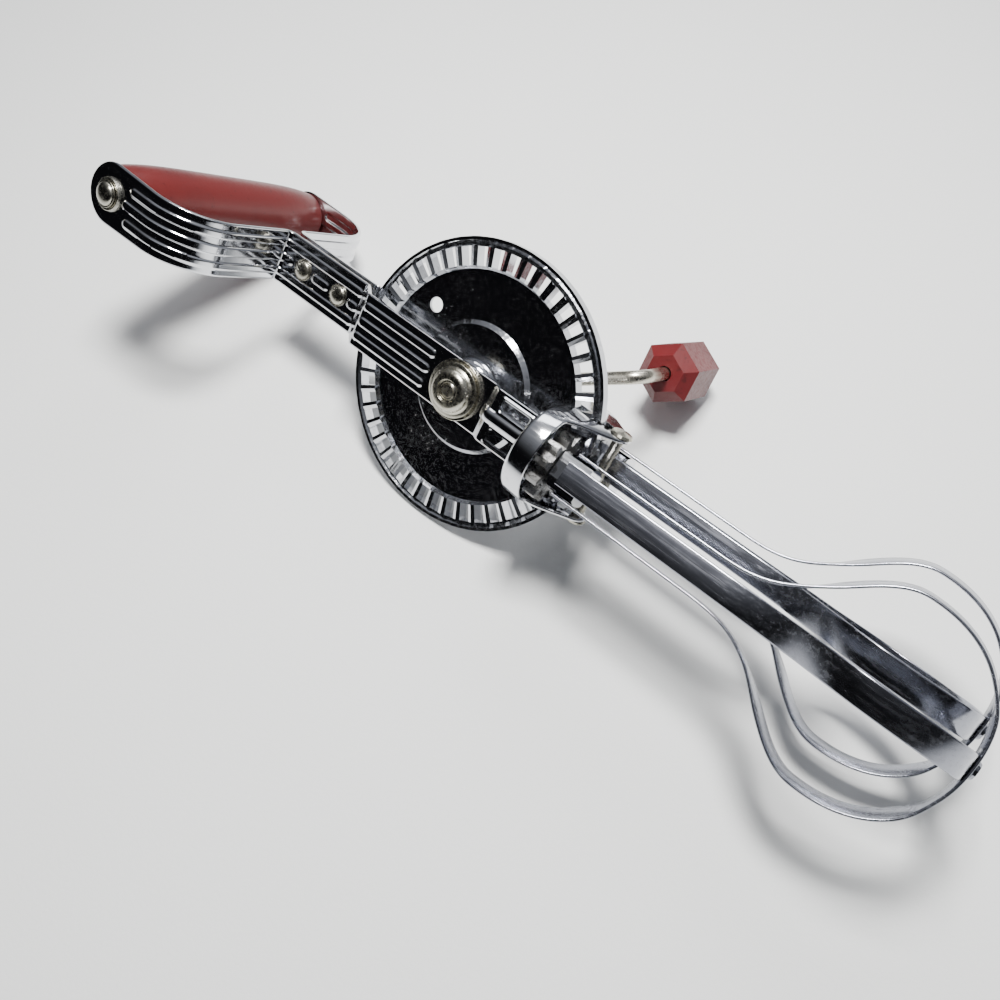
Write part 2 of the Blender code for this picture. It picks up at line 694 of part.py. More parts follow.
def blade_path(step_out):
    """Outer face of a whole loop, down one side, round the tip and back up the other."""
    side = [Vector((x, r)) for x, r in blade_profile(step_out)]
    back = [Vector((point.x, -point.y)) for point in reversed(side[:-1])]
    tip = Vector((side[-1].x, 0.0))
    return side[:-1] + [tip] + back


def blade_lean(point):
    """The blades lean over in the bulb, the same way round the axis, and lie flat at the neck and tip."""
    share = (abs(point.y) - TWIST_START) / (TWIST_END - TWIST_START)
    share = min(1.0, max(0.0, share))
    return -math.copysign(BLADE_TWIST * share * share * (3.0 - 2.0 * share), point.y)


def add_beater(label, side, phase, spin):
    """One beater: pinion, square hub and two crossed loops, all turning together."""
    centre_y = side * PINION_OFFSET
    pivot = (0.0, centre_y, 0.0)
    bore = SPINDLE_RADIUS + GAP
    add_piece(f"{label}_pinion", pinion_mesh(centre_y, bore), spin, (NICKEL, 0.3, 1.0), pivot)
    low = HOUSING_START + HOUSING_PLATE + GAP
    high = PINION_START - GAP
    collar = turned_ring([(low, bore), (low, 4.0 * MM), (high, 4.0 * MM), (high, bore)], 20, pivot, "X")
    add_piece(f"{label}_pinion_collar", collar, spin, (NICKEL, 0.3, 1.0), pivot)
    hub_half = BLADE_RADIUS - BLADE_THICKNESS - GAP
    hub = bmesh.new()
    ends = []
    for along in (PINION_END + GAP, SPINDLE_END - 1.0 * MM):
        outer, inner = [], []
        for step in range(16):
            angle = 2.0 * math.pi * step / 16
            reach = hub_half / max(abs(math.cos(angle)), abs(math.sin(angle)))
            reach = min(reach, hub_half * 1.25)
            outer.append(hub.verts.new(axis_point(along, reach, angle - phase, "X", pivot)))
            inner.append(hub.verts.new(axis_point(along, bore, angle - phase, "X", pivot)))
        ends.append((outer, inner))
    (outer_a, inner_a), (outer_b, inner_b) = ends
    for first, second in ((outer_a, outer_b), (inner_b, inner_a), (inner_a, outer_a), (outer_b, inner_b)):
        join_rings(hub, first, second)
    add_piece(f"{label}_blade_hub", hub, spin, (CHROME, 0.2, 1.0), pivot, 30.0)
    for index, (loop, step_out) in enumerate((("inner", 0.0), ("outer", CROSSING_STEP))):
        turn = Matrix.Rotation(-phase + index * math.pi / 2.0 + math.pi, 4, "X")
        frame = Matrix.Translation(Vector(pivot)) @ turn
        path = [Vector((p.x, p.y)) for p in blade_path(step_out)]
        build = strip(path, -BLADE_THICKNESS, lambda _point: BLADE_WIDTH / 2.0, frame, blade_lean)
        loop_piece = add_piece(f"{label}_{loop}_blade_loop", build, spin, (STAINLESS, 0.15, 1.0), pivot)
        drill = turned([(BULB_END - 9.0 * MM, 1.2 * MM + GAP), (BULB_END + 9.0 * MM, 1.2 * MM + GAP)], 12, axis="X")
        add_cutter(f"{label}_{loop}_rivet_hole", drill, loop_piece)
    tip_in = BULB_END - BLADE_THICKNESS - GAP
    tip_out = BULB_END + CROSSING_STEP + GAP
    rivet = [
        (tip_in - 0.9 * MM, 0.0),
        (tip_in - 0.7 * MM, 2.2 * MM),
        (tip_in, 2.6 * MM),
        (tip_in, 1.2 * MM),
        (tip_out, 1.2 * MM),
        (tip_out, 2.6 * MM),
        (tip_out + 0.7 * MM, 2.2 * MM),
        (tip_out + 0.9 * MM, 0.0),
    ]
    add_piece(f"{label}_tip_rivet", turned(rivet, 12, pivot, "X"), spin, (STAINLESS, 0.25, 1.0), pivot)


# ---------------------------------------------------------------------------------------------
# Assembly
# ---------------------------------------------------------------------------------------------

def lowest_point(pieces, normal):
    points = [piece.matrix_world @ vertex.co for piece in pieces for vertex in piece.data.vertices]
    return min(points, key=lambda point: point.dot(normal))


def lay_down(root, groups):
    """Turn and lift the tool so that the three groups of pieces each touch the ground plane."""
    normal = Vector((0.0, -0.55, 0.835)).normalized()
    for _ in range(12):
        bottom = [lowest_point(group, normal) for group in groups]
        plane = (bottom[1] - bottom[0]).cross(bottom[2] - bottom[0]).normalized()
        normal = plane if plane.z > 0.0 else -plane
    along = Vector((1.0, 0.0, 0.0))
    along = (along - normal * along.dot(normal)).normalized()
    across = normal.cross(along)
    turn = Matrix((along, across, normal)).to_4x4()
    pieces = [item for item in bpy.data.objects if item.type == "MESH" and not item.hide_render]
    corners = [turn @ piece.matrix_world @ vertex.co for piece in pieces for vertex in piece.data.vertices]
    low = Vector([min(corner[axis] for corner in corners) for axis in range(3)])
    high = Vector([max(corner[axis] for corner in corners) for axis in range(3)])
    shift = Vector((-(low.x + high.x) / 2.0, -(low.y + high.y) / 2.0, -low.z))
    root.matrix_world = Matrix.Translation(shift) @ turn


def main():
    clear_scene()
    root = add_empty("tool_root", None, (0.0, 0.0, 0.0))
    wheel_spin = add_empty("wheel_spin", root, (0.0, 0.0, 0.0))
    front_spin = add_empty("front_beater_spin", root, (0.0, -PINION_OFFSET, 0.0))
    back_spin = add_empty("back_beater_spin", root, (0.0, PINION_OFFSET, 0.0))
    knob_spin = add_empty("knob_spin", wheel_spin, knob_pivot())

    add_strap("front_frame_strap", -1.0, root)
    add_strap("back_frame_strap", 1.0, root)
    add_handle(root)
    add_neck_rivets(root)
    add_housing(root)
    add_housing_pin(root)
    add_spindles(root)
    add_wheel(wheel_spin)
    add_axle_washer("front_axle_washer", -HUB_FACE - 1.1 * MM, -HUB_FACE - 0.2 * MM, 8.6 * MM, wheel_spin)
    add_axle_washer("back_axle_washer", HUB_FACE + 0.2 * MM, HUB_FACE + 1.2 * MM, 6.0 * MM, wheel_spin)
    add_cap_nut(wheel_spin)
    add_crank(wheel_spin)
    add_knob(knob_spin)
    add_beater("front", -1.0, FRONT_BLADE_ANGLE, front_spin)
    add_beater("back", 1.0, BACK_BLADE_ANGLE, back_spin)

    bpy.context.view_layer.update()
    named = bpy.data.objects
    rim = [named["drive_wheel"]]
    beater = [named["back_inner_blade_loop"], named["back_outer_blade_loop"]]
    arm = [named["back_frame_strap"]]
    lay_down(root, (rim, beater, arm))


main()
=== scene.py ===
import json
import math

import bmesh
import bpy
from mathutils import Matrix, Vector


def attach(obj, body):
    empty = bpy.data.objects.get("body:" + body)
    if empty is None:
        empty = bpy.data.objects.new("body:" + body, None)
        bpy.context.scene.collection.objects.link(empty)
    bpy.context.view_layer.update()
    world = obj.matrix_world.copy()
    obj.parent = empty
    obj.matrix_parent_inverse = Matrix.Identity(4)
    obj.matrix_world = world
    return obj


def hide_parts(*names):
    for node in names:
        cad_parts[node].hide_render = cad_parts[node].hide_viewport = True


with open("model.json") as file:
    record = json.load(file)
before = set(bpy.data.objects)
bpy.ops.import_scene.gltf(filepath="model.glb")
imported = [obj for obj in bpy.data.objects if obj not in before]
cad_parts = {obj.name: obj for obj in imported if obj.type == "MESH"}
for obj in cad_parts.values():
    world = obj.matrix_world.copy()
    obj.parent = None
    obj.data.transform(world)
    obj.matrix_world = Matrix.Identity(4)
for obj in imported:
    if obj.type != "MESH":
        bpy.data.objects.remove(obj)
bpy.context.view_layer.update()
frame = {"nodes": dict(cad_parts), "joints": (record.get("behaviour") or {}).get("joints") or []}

MM = 0.001

# The tool's own axes: X along the tool, Y through the wheel, Z in the wheel's plane
joints = {joint["name"]: joint for joint in frame["joints"]}
TOOL_X = Vector(joints["front_beater_spin"]["axis"]).normalized()
TOOL_Y = Vector(joints["wheel_spin"]["axis"]).normalized()
TOOL_Z = TOOL_X.cross(TOOL_Y)
WHEEL_CENTRE = Vector(joints["wheel_spin"]["pos_m"])
TOOL_TURN = Matrix((TOOL_X, TOOL_Y, TOOL_Z)).transposed().to_4x4()
TOOL = Matrix.Translation(WHEEL_CENTRE) @ TOOL_TURN

# Sizes shared with the CAD, in the tool's own axes
STRAP_THICKNESS = 1.2 * MM
STRAP_HALF_WIDTH = 8.2 * MM
ARM_HALF_WIDTH = 9.0 * MM
NECK_FACE = 2.6 * MM
HUB_FACE = 8.3 * MM
FOOT_FACE = 9.7 * MM
ARM_FACE = 41.3 * MM
ARM_BACK_X = -78.0 * MM
GRIP_X = -111.0 * MM
JOGGLE_START = -44.5 * MM
JOGGLE_END = -39.0 * MM
FOOT_STEP_START = 10.5 * MM
FOOT_STEP_END = 12.5 * MM
STRAP_END = 27.9 * MM
WINDOW_X = (15.5 * MM, 24.5 * MM)
WINDOW_Z = (2.9 * MM, 6.3 * MM)
NECK_RIVETS = (-68.7 * MM, -53.1 * MM)
GRIP_RADIUS = 9.8 * MM
GRIP_END_RADIUS = 8.4 * MM
ROD_RADIUS = 2.0 * MM
AXLE_RADIUS = 2.0 * MM
CRANK_RADIUS = 41.1 * MM
CRANK_ANGLE = math.radians(33.2)
CRANK_PLANE = 26.0 * MM
CRANK_BEND = 5.0 * MM
KNOB_START = 42.3 * MM
KNOB_LENGTH = 26.0 * MM
PINION_OFFSET = 11.2 * MM
HOUSING_START = 28.2 * MM
HOUSING_PLATE = 1.2 * MM
HOUSING_WALL = 1.0 * MM
HOUSING_RADIUS = 13.3 * MM
HOUSING_CENTRE = 9.5 * MM
HOUSING_SKIRT = 35.0 * MM
HOUSING_SLOPE_END = 13.0 * MM
HOUSING_NOSE = 46.0 * MM
HOUSING_NOSE_RADIUS = 4.6 * MM
RIM_SLOT_HALF = 2.8 * MM
RIM_SLOT_END = 42.2 * MM
BLADE_WIDTH = 7.0 * MM
BLADE_THICKNESS = 0.8 * MM
BLADE_START = 42.0 * MM
BLADE_RADIUS = 6.5 * MM
FLARE_START = 81.0 * MM
BULB_MIDDLE = 128.0 * MM
BULB_END = 154.0 * MM
BULB_RADIUS = 26.6 * MM
CROSSING_STEP = 1.2 * MM
FRONT_BLADE_ANGLE = math.radians(22.0)
BACK_BLADE_ANGLE = math.radians(18.5)
BLADE_TWIST = math.radians(12.0)    # how far the blades lean over in the bulb
TWIST_START = 10.5 * MM             # the lean grows between these distances from the beater's axis
TWIST_END = 19.0 * MM

# Pressed ribs of the straps
RIB_PITCH = 4.7 * MM
RIB_HALF_WIDTH = 1.15 * MM
RIB_SLOPE = 0.45 * MM
RIB_HEIGHT = 0.55 * MM
U_MARK_HALF_WIDTH = 2.1 * MM
U_MARK_HEIGHT = 1.3 * MM
WINDOW_LIP_HEIGHT = 0.55 * MM

# Camera in the tool's own axes: which way it faces, and the tool's origin as it sees it
CAMERA_RIGHT = Vector((0.74774, 0.51520, 0.41887))
CAMERA_UP = Vector((-0.56997, 0.17443, 0.80293))
CAMERA_BACK = Vector((0.34061, -0.83913, 0.42408))
ORIGIN_SEEN = (-7.8538 * MM, 31.9986 * MM, -262.9692 * MM)
SENSOR_WIDTH = 36.0
LENS_SHARE = 0.92457                # focal length as a share of the sensor's width


# ---------------------------------------------------------------------------------------------
# Materials
# ---------------------------------------------------------------------------------------------

def ramp(tree, source, low, high, low_value, high_value):
    """Map a factor from low..high onto low_value..high_value."""
    node = tree.nodes.new("ShaderNodeMapRange")
    node.inputs["From Min"].default_value = low
    node.inputs["From Max"].default_value = high
    node.inputs["To Min"].default_value = low_value
    node.inputs["To Max"].default_value = high_value
    tree.links.new(source, node.inputs["Value"])
    return node.outputs["Result"]


def noise(tree, coordinates, scale, detail, stretch=(1.0, 1.0, 1.0), rough=0.6):
    """Noise on stretched coordinates; a small stretch along an axis makes streaks along it."""
    mapping = tree.nodes.new("ShaderNodeMapping")
    mapping.inputs["Scale"].default_value = stretch
    tree.links.new(coordinates, mapping.inputs["Vector"])
    node = tree.nodes.new("ShaderNodeTexNoise")
    node.inputs["Scale"].default_value = scale
    node.inputs["Detail"].default_value = detail
    node.inputs["Roughness"].default_value = rough
    tree.links.new(mapping.outputs["Vector"], node.inputs["Vector"])
    return node.outputs["Fac"]


def mix(tree, factor, first, second):
    node = tree.nodes.new("ShaderNodeMix")
    node.data_type = "RGBA"
    tree.links.new(factor, node.inputs["Factor"])
    for value, socket in ((first, node.inputs["A"]), (second, node.inputs["B"])):
        if hasattr(value, "links"):
            tree.links.new(value, socket)
        else:
            socket.default_value = (*value, 1.0)
    return node.outputs["Result"]


def add_material(name, colour, stain, metallic, rough, streaks, stain_amount, bump_height, coat=0.0):
    """Worn surface: fine streaks in the roughness, soft stains in the colour and a slight unevenness."""
    material = bpy.data.materials.new(name)
    material.use_nodes = True
    tree = material.node_tree
    shader = tree.nodes["Principled BSDF"]
    place = tree.nodes.new("ShaderNodeTexCoord").outputs["Object"]
    streak = noise(tree, place, 900.0, 3.0, streaks, 0.7)
    cloud = noise(tree, place, 55.0, 4.0)
    speck = noise(tree, place, 420.0, 2.0)
    rough_low, rough_high = rough
    rough_mix = tree.nodes.new("ShaderNodeMath")
    rough_mix.operation = "ADD"
    tree.links.new(ramp(tree, streak, 0.45, 0.75, rough_low, rough_high), rough_mix.inputs[0])
    tree.links.new(ramp(tree, cloud, 0.45, 0.75, 0.0, 0.5 * (rough_high - rough_low)), rough_mix.inputs[1])
    tree.links.new(rough_mix.outputs[0], shader.inputs["Roughness"])
    stained = mix(tree, ramp(tree, cloud, 0.42, 0.7, 0.0, stain_amount), colour, stain)
    dark = tuple(0.55 * part for part in stain)
    tree.links.new(mix(tree, ramp(tree, speck, 0.62, 0.74, 0.0, 0.7 * stain_amount), stained, dark),
                   shader.inputs["Base Color"])
    shader.inputs["Metallic"].default_value = metallic
    if metallic == 0.0:
        shader.inputs["Specular IOR Level"].default_value = 0.3
    if coat:
        shader.inputs["Coat Weight"].default_value = coat
        shader.inputs["Coat Roughness"].default_value = 0.25
    bump = tree.nodes.new("ShaderNodeBump")
    bump.inputs["Strength"].default_value = 0.25
    bump.inputs["Distance"].default_value = bump_height
    height = tree.nodes.new("ShaderNodeMath")
    height.operation = "ADD"
    tree.links.new(ramp(tree, cloud, 0.3, 0.7, 0.0, 1.0), height.inputs[0])
    tree.links.new(ramp(tree, streak, 0.35, 0.65, 0.0, 0.35), height.inputs[1])
    tree.links.new(height.outputs[0], bump.inputs["Height"])
    tree.links.new(bump.outputs["Normal"], shader.inputs["Normal"])
    return material


LENGTHWISE = (0.04, 1.0, 1.0)
ROUND = (1.0, 1.0, 1.0)
CHROME = add_material("strap_chrome", (0.72, 0.73, 0.76), (0.46, 0.45, 0.44),
                      1.0, (0.07, 0.17), LENGTHWISE, 0.30, 0.00003)
PLATE = add_material("wheel_chrome", (0.62, 0.63, 0.66), (0.36, 0.36, 0.38),
                     1.0, (0.09, 0.26), ROUND, 0.55, 0.00003)
BLADE = add_material("blade_steel", (0.33, 0.34, 0.385), (0.25, 0.26, 0.30),
                     1.0, (0.18, 0.34), LENGTHWISE, 0.25, 0.00002)
NICKEL = add_material("old_nickel", (0.50, 0.48, 0.41), (0.27, 0.25, 0.19),
                      1.0, (0.20, 0.38), ROUND, 0.6, 0.00006)
GEAR = add_material("pinion_steel", (0.34, 0.34, 0.34), (0.16, 0.15, 0.13),
                    1.0, (0.25, 0.45), ROUND, 0.7, 0.00006)
ROD = add_material("rod_nickel", (0.58, 0.55, 0.47), (0.40, 0.36, 0.28),
                   1.0, (0.24, 0.38), ROUND, 0.5, 0.00004)
GRIP = add_material("grip_paint", (0.10, 0.0115, 0.011), (0.065, 0.008, 0.008),
                    0.0, (0.34, 0.46), ROUND, 0.6, 0.00006, 0.15)
KNOB = add_material("knob_paint", (0.115, 0.0095, 0.011), (0.065, 0.007, 0.008),
                    0.0, (0.40, 0.60), ROUND, 0.8, 0.00010, 0.05)


# ---------------------------------------------------------------------------------------------
# Mesh helpers, all in the tool's own axes
# ---------------------------------------------------------------------------------------------

def add_piece(name, build, body, material, replaced, bevel=0.0, sharp_degrees=32.0):
    """Make a shown piece from a bmesh in tool axes, ride it on a body and hide the CAD parts it stands
    for.
    """
    bmesh.ops.remove_doubles(build, verts=build.verts, dist=1e-7)
    bmesh.ops.recalc_face_normals(build, faces=build.faces)
    build.transform(TOOL)
    mesh = bpy.data.meshes.new(name)
    build.to_mesh(mesh)
    build.free()
    mesh.shade_smooth()
    mesh.set_sharp_from_angle(angle=math.radians(sharp_degrees))
    mesh.materials.append(material)
    piece = bpy.data.objects.new(name, mesh)
    bpy.context.scene.collection.objects.link(piece)
    if bevel:
        round_edges(piece, bevel)
    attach(piece, body)
    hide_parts(*replaced)
    return piece


def round_edges(piece, width, segments=3):
    modifier = piece.modifiers.new("rounded_edges", "BEVEL")
    modifier.width = width
    modifier.segments = segments
    modifier.limit_method = "ANGLE"
    modifier.angle_limit = math.radians(28.0)
    modifier.harden_normals = True


def finish_node(name, material, bevel=0.0):
    """Give a CAD node its finish and, where it has hard edges, rounded ones."""
    node = frame["nodes"][name]
    node.data.materials.clear()
    node.data.materials.append(material)
    if bevel:
        round_edges(node, bevel, 2)


def axis_point(along, radius, angle, axis, centre):
    side = radius * math.cos(angle)
    up = radius * math.sin(angle)
    point = Vector((along, side, up)) if axis == "X" else Vector((side, along, up))
    return point + Vector(centre)


def join_rings(build, first, second):
    for step in range(max(len(first), len(second))):
        following = (step + 1) % max(len(first), len(second))
        if len(first) == 1:
            build.faces.new((first[0], second[step], second[following]))
        elif len(second) == 1:
            build.faces.new((first[step], second[0], first[following]))
        else:
            build.faces.new((first[step], second[step], second[following], first[following]))


def turned(profile, centre=(0.0, 0.0, 0.0), axis="Y", segments=72, closed=False):
    """Solid of revolution from (along, radius) points; a closed profile makes a ring."""
    build = bmesh.new()
    rings = []
    for along, radius in profile:
        if radius <= 0.0:
            rings.append([build.verts.new(axis_point(along, 0.0, 0.0, axis, centre))])
            continue
        angles = [2.0 * math.pi * step / segments for step in range(segments)]
        rings.append([build.verts.new(axis_point(along, radius, angle, axis, centre)) for angle in angles])
    for first, second in zip(rings, rings[1:]):
        join_rings(build, first, second)
    if closed:
        join_rings(build, rings[-1], rings[0])
    return build


def rounded_path(corners, arc_step):
    """Points along a path of (x, y, radius) corners, each radius replaced by an arc."""
    points = []
    for index, (x, y, radius) in enumerate(corners):
        here = Vector((x, y))
        if radius == 0.0 or index in (0, len(corners) - 1):
            points.append(here)
            continue
        before = (Vector(corners[index - 1][:2]) - here).normalized()
        after = (Vector(corners[index + 1][:2]) - here).normalized()
        half = before.angle(after) / 2.0
        reach = radius / math.tan(half)
        centre = here + (before + after).normalized() * radius / math.sin(half)
        start = here + before * reach - centre
        turn = (here + after * reach - centre).angle_signed(start)
        steps = max(2, round(abs(turn) / arc_step))
        points += [centre + Matrix.Rotation(turn * step / steps, 2) @ start for step in range(steps + 1)]
    return points


def resampled(points, spacing):
    """Even points along a polyline."""
    lengths = [0.0]
    for first, second in zip(points, points[1:]):
        lengths.append(lengths[-1] + (second - first).length)
    count = round(lengths[-1] / spacing)
    result = []
    segment = 0
    for step in range(count + 1):
        target = lengths[-1] * step / count
        while segment < len(points) - 2 and lengths[segment + 1] < target:
            segment += 1
        share = (target - lengths[segment]) / (lengths[segment + 1] - lengths[segment])
        result.append(points[segment].lerp(points[segment + 1], min(1.0, max(0.0, share))))
    return result


def tangents(points):
    result = []
    for index in range(len(points)):
        first = points[max(0, index - 1)]
        second = points[min(len(points) - 1, index + 1)]
        result.append((second - first).normalized())
    return result


def smooth_step(value, low, high):
    share = min(1.0, max(0.0, (value - low) / (high - low)))
    return share * share * (3.0 - 2.0 * share)


# ---------------------------------------------------------------------------------------------
# Pressed straps with raised ribs
# ---------------------------------------------------------------------------------------------

def capsule(x, z, start, end, centre, half_width, slope):
    """How far up a round-ended raised rib from start to end the point lies, from 0 to 1."""
    nearest = min(max(x, start + half_width), end - half_width)
    distance = math.hypot(x - nearest, z - centre)
    return 1.0 - smooth_step(distance, half_width - slope / 2.0, half_width + slope / 2.0)


def strap_height(run, x, z):
    """Height of the pressed relief; run is the length along the strap, x the place along the tool."""
    height = 0.0
    joggle_run = run_of["joggle_start"]
    for centre in (-RIB_PITCH, RIB_PITCH):
        rib = capsule(run, z, run_of["ribs"], joggle_run - 0.6 * MM, centre, RIB_HALF_WIDTH, RIB_SLOPE)
        height = max(height, rib)
    middle = (
        (run_of["ribs"] - 2.0 * MM, run_of["first_rivet"] - 4.6 * MM),
        (run_of["first_rivet"] + 4.3 * MM, run_of["second_rivet"] - 4.3 * MM),
        (run_of["second_rivet"] + 4.2 * MM, joggle_run - 0.6 * MM),
    )
    for start, end in middle:
        height = max(height, capsule(run, z, start, end, 0.0, RIB_HALF_WIDTH, RIB_SLOPE))
    if x > JOGGLE_END:
        for centre in (-RIB_PITCH, 0.0, RIB_PITCH):
            rib = capsule(x, z, JOGGLE_END + 0.4 * MM, -10.6 * MM, centre, RIB_HALF_WIDTH, RIB_SLOPE)
            height = max(height, rib)
    height *= RIB_HEIGHT
    if x > FOOT_STEP_START - 4.0 * MM:
        across = abs(z) / U_MARK_HALF_WIDTH
        crown = math.sqrt(max(0.0, 1.0 - across * across))
        ends = smooth_step(x, FOOT_STEP_START - 1.0 * MM, FOOT_STEP_START + 1.5 * MM)
        height = max(height, U_MARK_HEIGHT * crown * ends)
        border_x = abs(x - sum(WINDOW_X) / 2.0) - 4.5 * MM
        border_z = abs(abs(z) - sum(WINDOW_Z) / 2.0) - 1.7 * MM
        lip = 1.0 - smooth_step(abs(max(border_x, border_z) - 0.45 * MM), 0.25 * MM, 0.6 * MM)
        height = max(height, WINDOW_LIP_HEIGHT * lip)
    return height


def is_open(x, y, z):
    """Where the strap has a hole: the two windows of its foot and the axle hole."""
    in_window = WINDOW_X[0] < x < WINDOW_X[1] and WINDOW_Z[0] < abs(z) < WINDOW_Z[1]
    return in_window or (abs(y) < 2.0 * HUB_FACE and math.hypot(x, z) < AXLE_RADIUS + 0.5 * MM)


STRAP_CORNERS = [
    (GRIP_X, -ARM_FACE, 0.0),
    (ARM_BACK_X, -ARM_FACE, 17.0 * MM),
    (ARM_BACK_X, -NECK_FACE, 1.6 * MM),
    (JOGGLE_START, -NECK_FACE, 1.6 * MM),
    (JOGGLE_END, -HUB_FACE, 1.6 * MM),
    (FOOT_STEP_START, -HUB_FACE, 1.8 * MM),
    (FOOT_STEP_END, -FOOT_FACE, 1.8 * MM),
    (STRAP_END, -FOOT_FACE, 0.0),
]
end_reaches = [0.9995 * ARM_HALF_WIDTH * math.cos(math.pi / 28.0 * step) for step in range(14)]
strap_points = [Vector((GRIP_X - reach, -ARM_FACE)) for reach in end_reaches]
strap_points += resampled(rounded_path(STRAP_CORNERS, math.radians(4.0)), 0.42 * MM)
strap_tangents = tangents(strap_points)
strap_runs = [0.0]
for first_point, second_point in zip(strap_points, strap_points[1:]):
    strap_runs.append(strap_runs[-1] + (second_point - first_point).length)


def run_at(x, after_corner):
    """Length along the strap at a place along the tool, on the arm or after its corner."""
    for point, run in zip(strap_points, strap_runs):
        if point.x >= x and (not after_corner or point.y > -2.0 * HUB_FACE):
            return run
    return strap_runs[-1]


run_of = {
    "ribs": run_at(GRIP_X + 7.6 * MM, False),
    "first_rivet": run_at(NECK_RIVETS[0], True),
    "second_rivet": run_at(NECK_RIVETS[1], True),
    "joggle_start": run_at(JOGGLE_START, True),
}


def strap_half_width(point):
    if point.x < GRIP_X:
        reach = GRIP_X - point.x
        return math.sqrt(max(ARM_HALF_WIDTH ** 2 - reach ** 2, (0.03 * ARM_HALF_WIDTH) ** 2))
    blend = min(1.0, (point.x - GRIP_X) / (ARM_BACK_X - GRIP_X))
    return ARM_HALF_WIDTH + (STRAP_HALF_WIDTH - ARM_HALF_WIDTH) * blend


def add_strap(name, side):
    """Side is -1 for the front strap and 1 for the back one."""
    build = bmesh.new()
    middle_columns = 50
    middle = [-0.93 + 1.86 * step / middle_columns for step in range(middle_columns + 1)]
    shares = [-1.0, -0.985, -0.96] + middle + [0.96, 0.985, 1.0]
    drops = {0: 0.28 * MM, 1: 0.10 * MM, 2: 0.03 * MM}
    outer, inner, places = [], [], []
    for point, tangent, run in zip(strap_points, strap_tangents, strap_runs):
        normal = Vector((tangent.y, -tangent.x))
        half = strap_half_width(point)
        outer_row, inner_row, place_row = [], [], []
        for index, share in enumerate(shares):
            z = half * share
            relief = strap_height(run, point.x, z)
            drop = drops.get(min(index, len(shares) - 1 - index), 0.0)
            out = point + normal * (relief - drop)
            back = point + normal * (0.85 * relief - STRAP_THICKNESS + 0.5 * drop)
            outer_row.append(build.verts.new((out.x, -side * out.y, z)))
            inner_row.append(build.verts.new((back.x, -side * back.y, z)))
            place_row.append((point.x, point.y, z))
        outer.append(outer_row)
        inner.append(inner_row)
        places.append(place_row)
    kept = {}
    for row in range(len(outer) - 1):
        for column in range(len(shares) - 1):
            x = (places[row][column][0] + places[row + 1][column][0]) / 2.0
            z = (places[row][column][2] + places[row][column + 1][2]) / 2.0
            kept[row, column] = not is_open(x, places[row][column][1], z)
    for (row, column), keep in kept.items():
        if not keep:
            continue
        for grid in (outer, inner):
            near, far = grid[row], grid[row + 1]
            build.faces.new((near[column], near[column + 1], far[column + 1], far[column]))
        borders = (
            ((row - 1, column), (row, column), (row, column + 1)),
            ((row + 1, column), (row + 1, column), (row + 1, column + 1)),
            ((row, column - 1), (row, column), (row + 1, column)),
            ((row, column + 1), (row, column + 1), (row + 1, column + 1)),
        )
        for neighbour, (row_a, column_a), (row_b, column_b) in borders:
            if kept.get(neighbour, False):
                continue
            outer_pair = (outer[row_a][column_a], outer[row_b][column_b])
            inner_pair = (inner[row_b][column_b], inner[row_a][column_a])
            build.faces.new(outer_pair + inner_pair)
    node = f"{name}_frame_strap"
    add_piece(f"{name}_ribbed_strap", build, "frame", CHROME, [node], sharp_degrees=50.0)


# ---------------------------------------------------------------------------------------------
# Turned pieces
# ---------------------------------------------------------------------------------------------

def domed_head(base, radius, height, steps=8):
    """Profile of a domed head from its rim to its top, with a small flat rim."""
    profile = [(base, radius), (base + 0.25 * height, radius)]
    for step in range(steps + 1):
        angle = math.pi / 2.0 * step / steps
        along = base + 0.25 * height + 0.75 * height * math.sin(angle)
        profile.append((along, 0.86 * radius * math.cos(angle)))
    profile[-1] = (base + height, 0.0)
    return profile


def add_headed_pin(name, place, face, radius, head_radius, height):
    """Pin through both straps with a domed head at each end."""
    half = [(face, radius)] + domed_head(face, head_radius, height)
    profile = [(-along, across) for along, across in reversed(half)] + half
    build = turned(profile, (place, 0.0, 0.0), "Y", 48)
    add_piece(f"{name}_detail", build, "frame", NICKEL, [name], 0.12 * MM)


def add_handle():
    """Grip, the rod through it with its washers, and the two neck rivets."""
    reach = ARM_FACE - STRAP_THICKNESS - 0.3 * MM
    outer = []
    for step in range(25):
        share = -1.0 + 2.0 * step / 24
        barrel = GRIP_RADIUS - (GRIP_RADIUS - GRIP_END_RADIUS) * abs(share) ** 5.0
        outer.append((share * (reach - 0.7 * MM), barrel))
    bore = ROD_RADIUS + 0.3 * MM
    profile = [(-reach, bore), (-reach, GRIP_END_RADIUS - 0.8 * MM)] + outer
    profile += [(reach, GRIP_END_RADIUS - 0.8 * MM), (reach, bore)]
    build = turned(profile, (GRIP_X, 0.0, 0.0), "Y", 96, True)
    add_piece("handle_grip_turned", build, "frame", GRIP, ["handle_grip"], 0.3 * MM)
    add_headed_pin("handle_rod", GRIP_X, ARM_FACE + 1.4 * MM, ROD_RADIUS, 3.9 * MM, 1.8 * MM)
    for name, side in (("front_handle_washer", -1.0), ("back_handle_washer", 1.0)):
        low = side * (ARM_FACE + 0.05 * MM)
        high = side * (ARM_FACE + 1.2 * MM)
        outline = [(low, bore), (low, 5.0 * MM), (high, 4.7 * MM), (high, bore)]
        build = turned(outline, (GRIP_X, 0.0, 0.0), "Y", 48, True)
        add_piece(f"{name}_turned", build, "frame", NICKEL, [name], 0.2 * MM)
    for name, place in zip(("upper_neck_rivet", "lower_neck_rivet"), NECK_RIVETS):
        add_headed_pin(name, place, NECK_FACE + 0.05 * MM, ROD_RADIUS, 3.3 * MM, 1.3 * MM)


